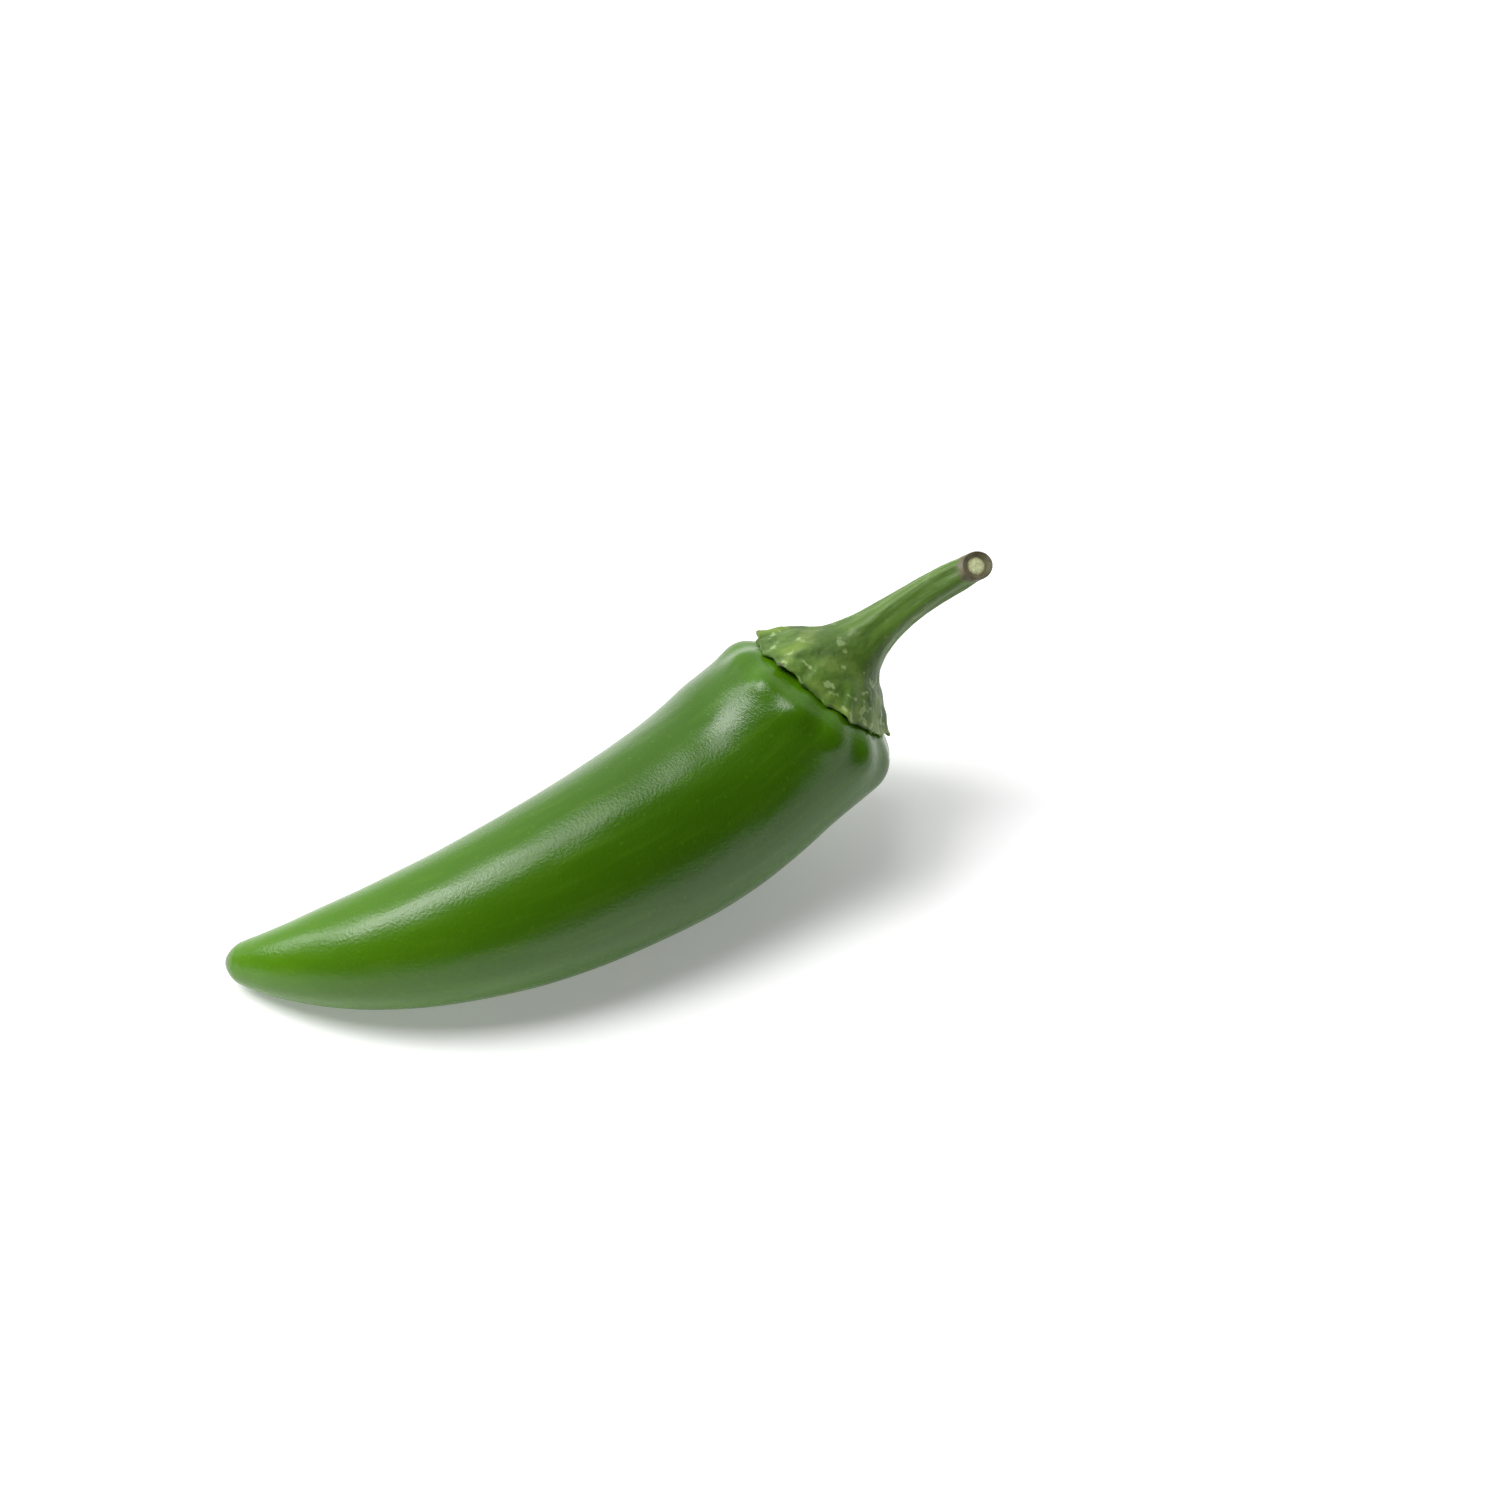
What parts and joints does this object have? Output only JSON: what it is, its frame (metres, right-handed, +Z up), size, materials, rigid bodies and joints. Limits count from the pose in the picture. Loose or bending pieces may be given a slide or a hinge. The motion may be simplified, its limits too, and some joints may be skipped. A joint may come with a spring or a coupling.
{
  "type": "chilli pepper",
  "caption": "Green chilli pepper lying on its belly: long tapering glossy pod, toothed calyx cap and curved green stem with a slanting cut end.",
  "frame": {"origin": "on the surface the pepper lies on, under the middle of its bounding box", "axes": "+X runs from the tip of the pod towards the cut end of the stem, +Z is up, away from the surface"},
  "size_m": [0.1058, 0.0298, 0.0391],
  "materials": {
    "pod_skin": "glossy waxy green skin, darker at the shoulder and brighter towards the tip",
    "calyx_green": "satin mid-green cap, mottled, with brownish teeth on its rim",
    "stem_green": "satin green stalk with fine ribs, brown ring and pale pith at the cut end"
  },
  "bodies": {
    "root": {"pod": "pod_skin", "calyx": "calyx_green", "stem": "stem_green"}
  },
  "joints": []
}
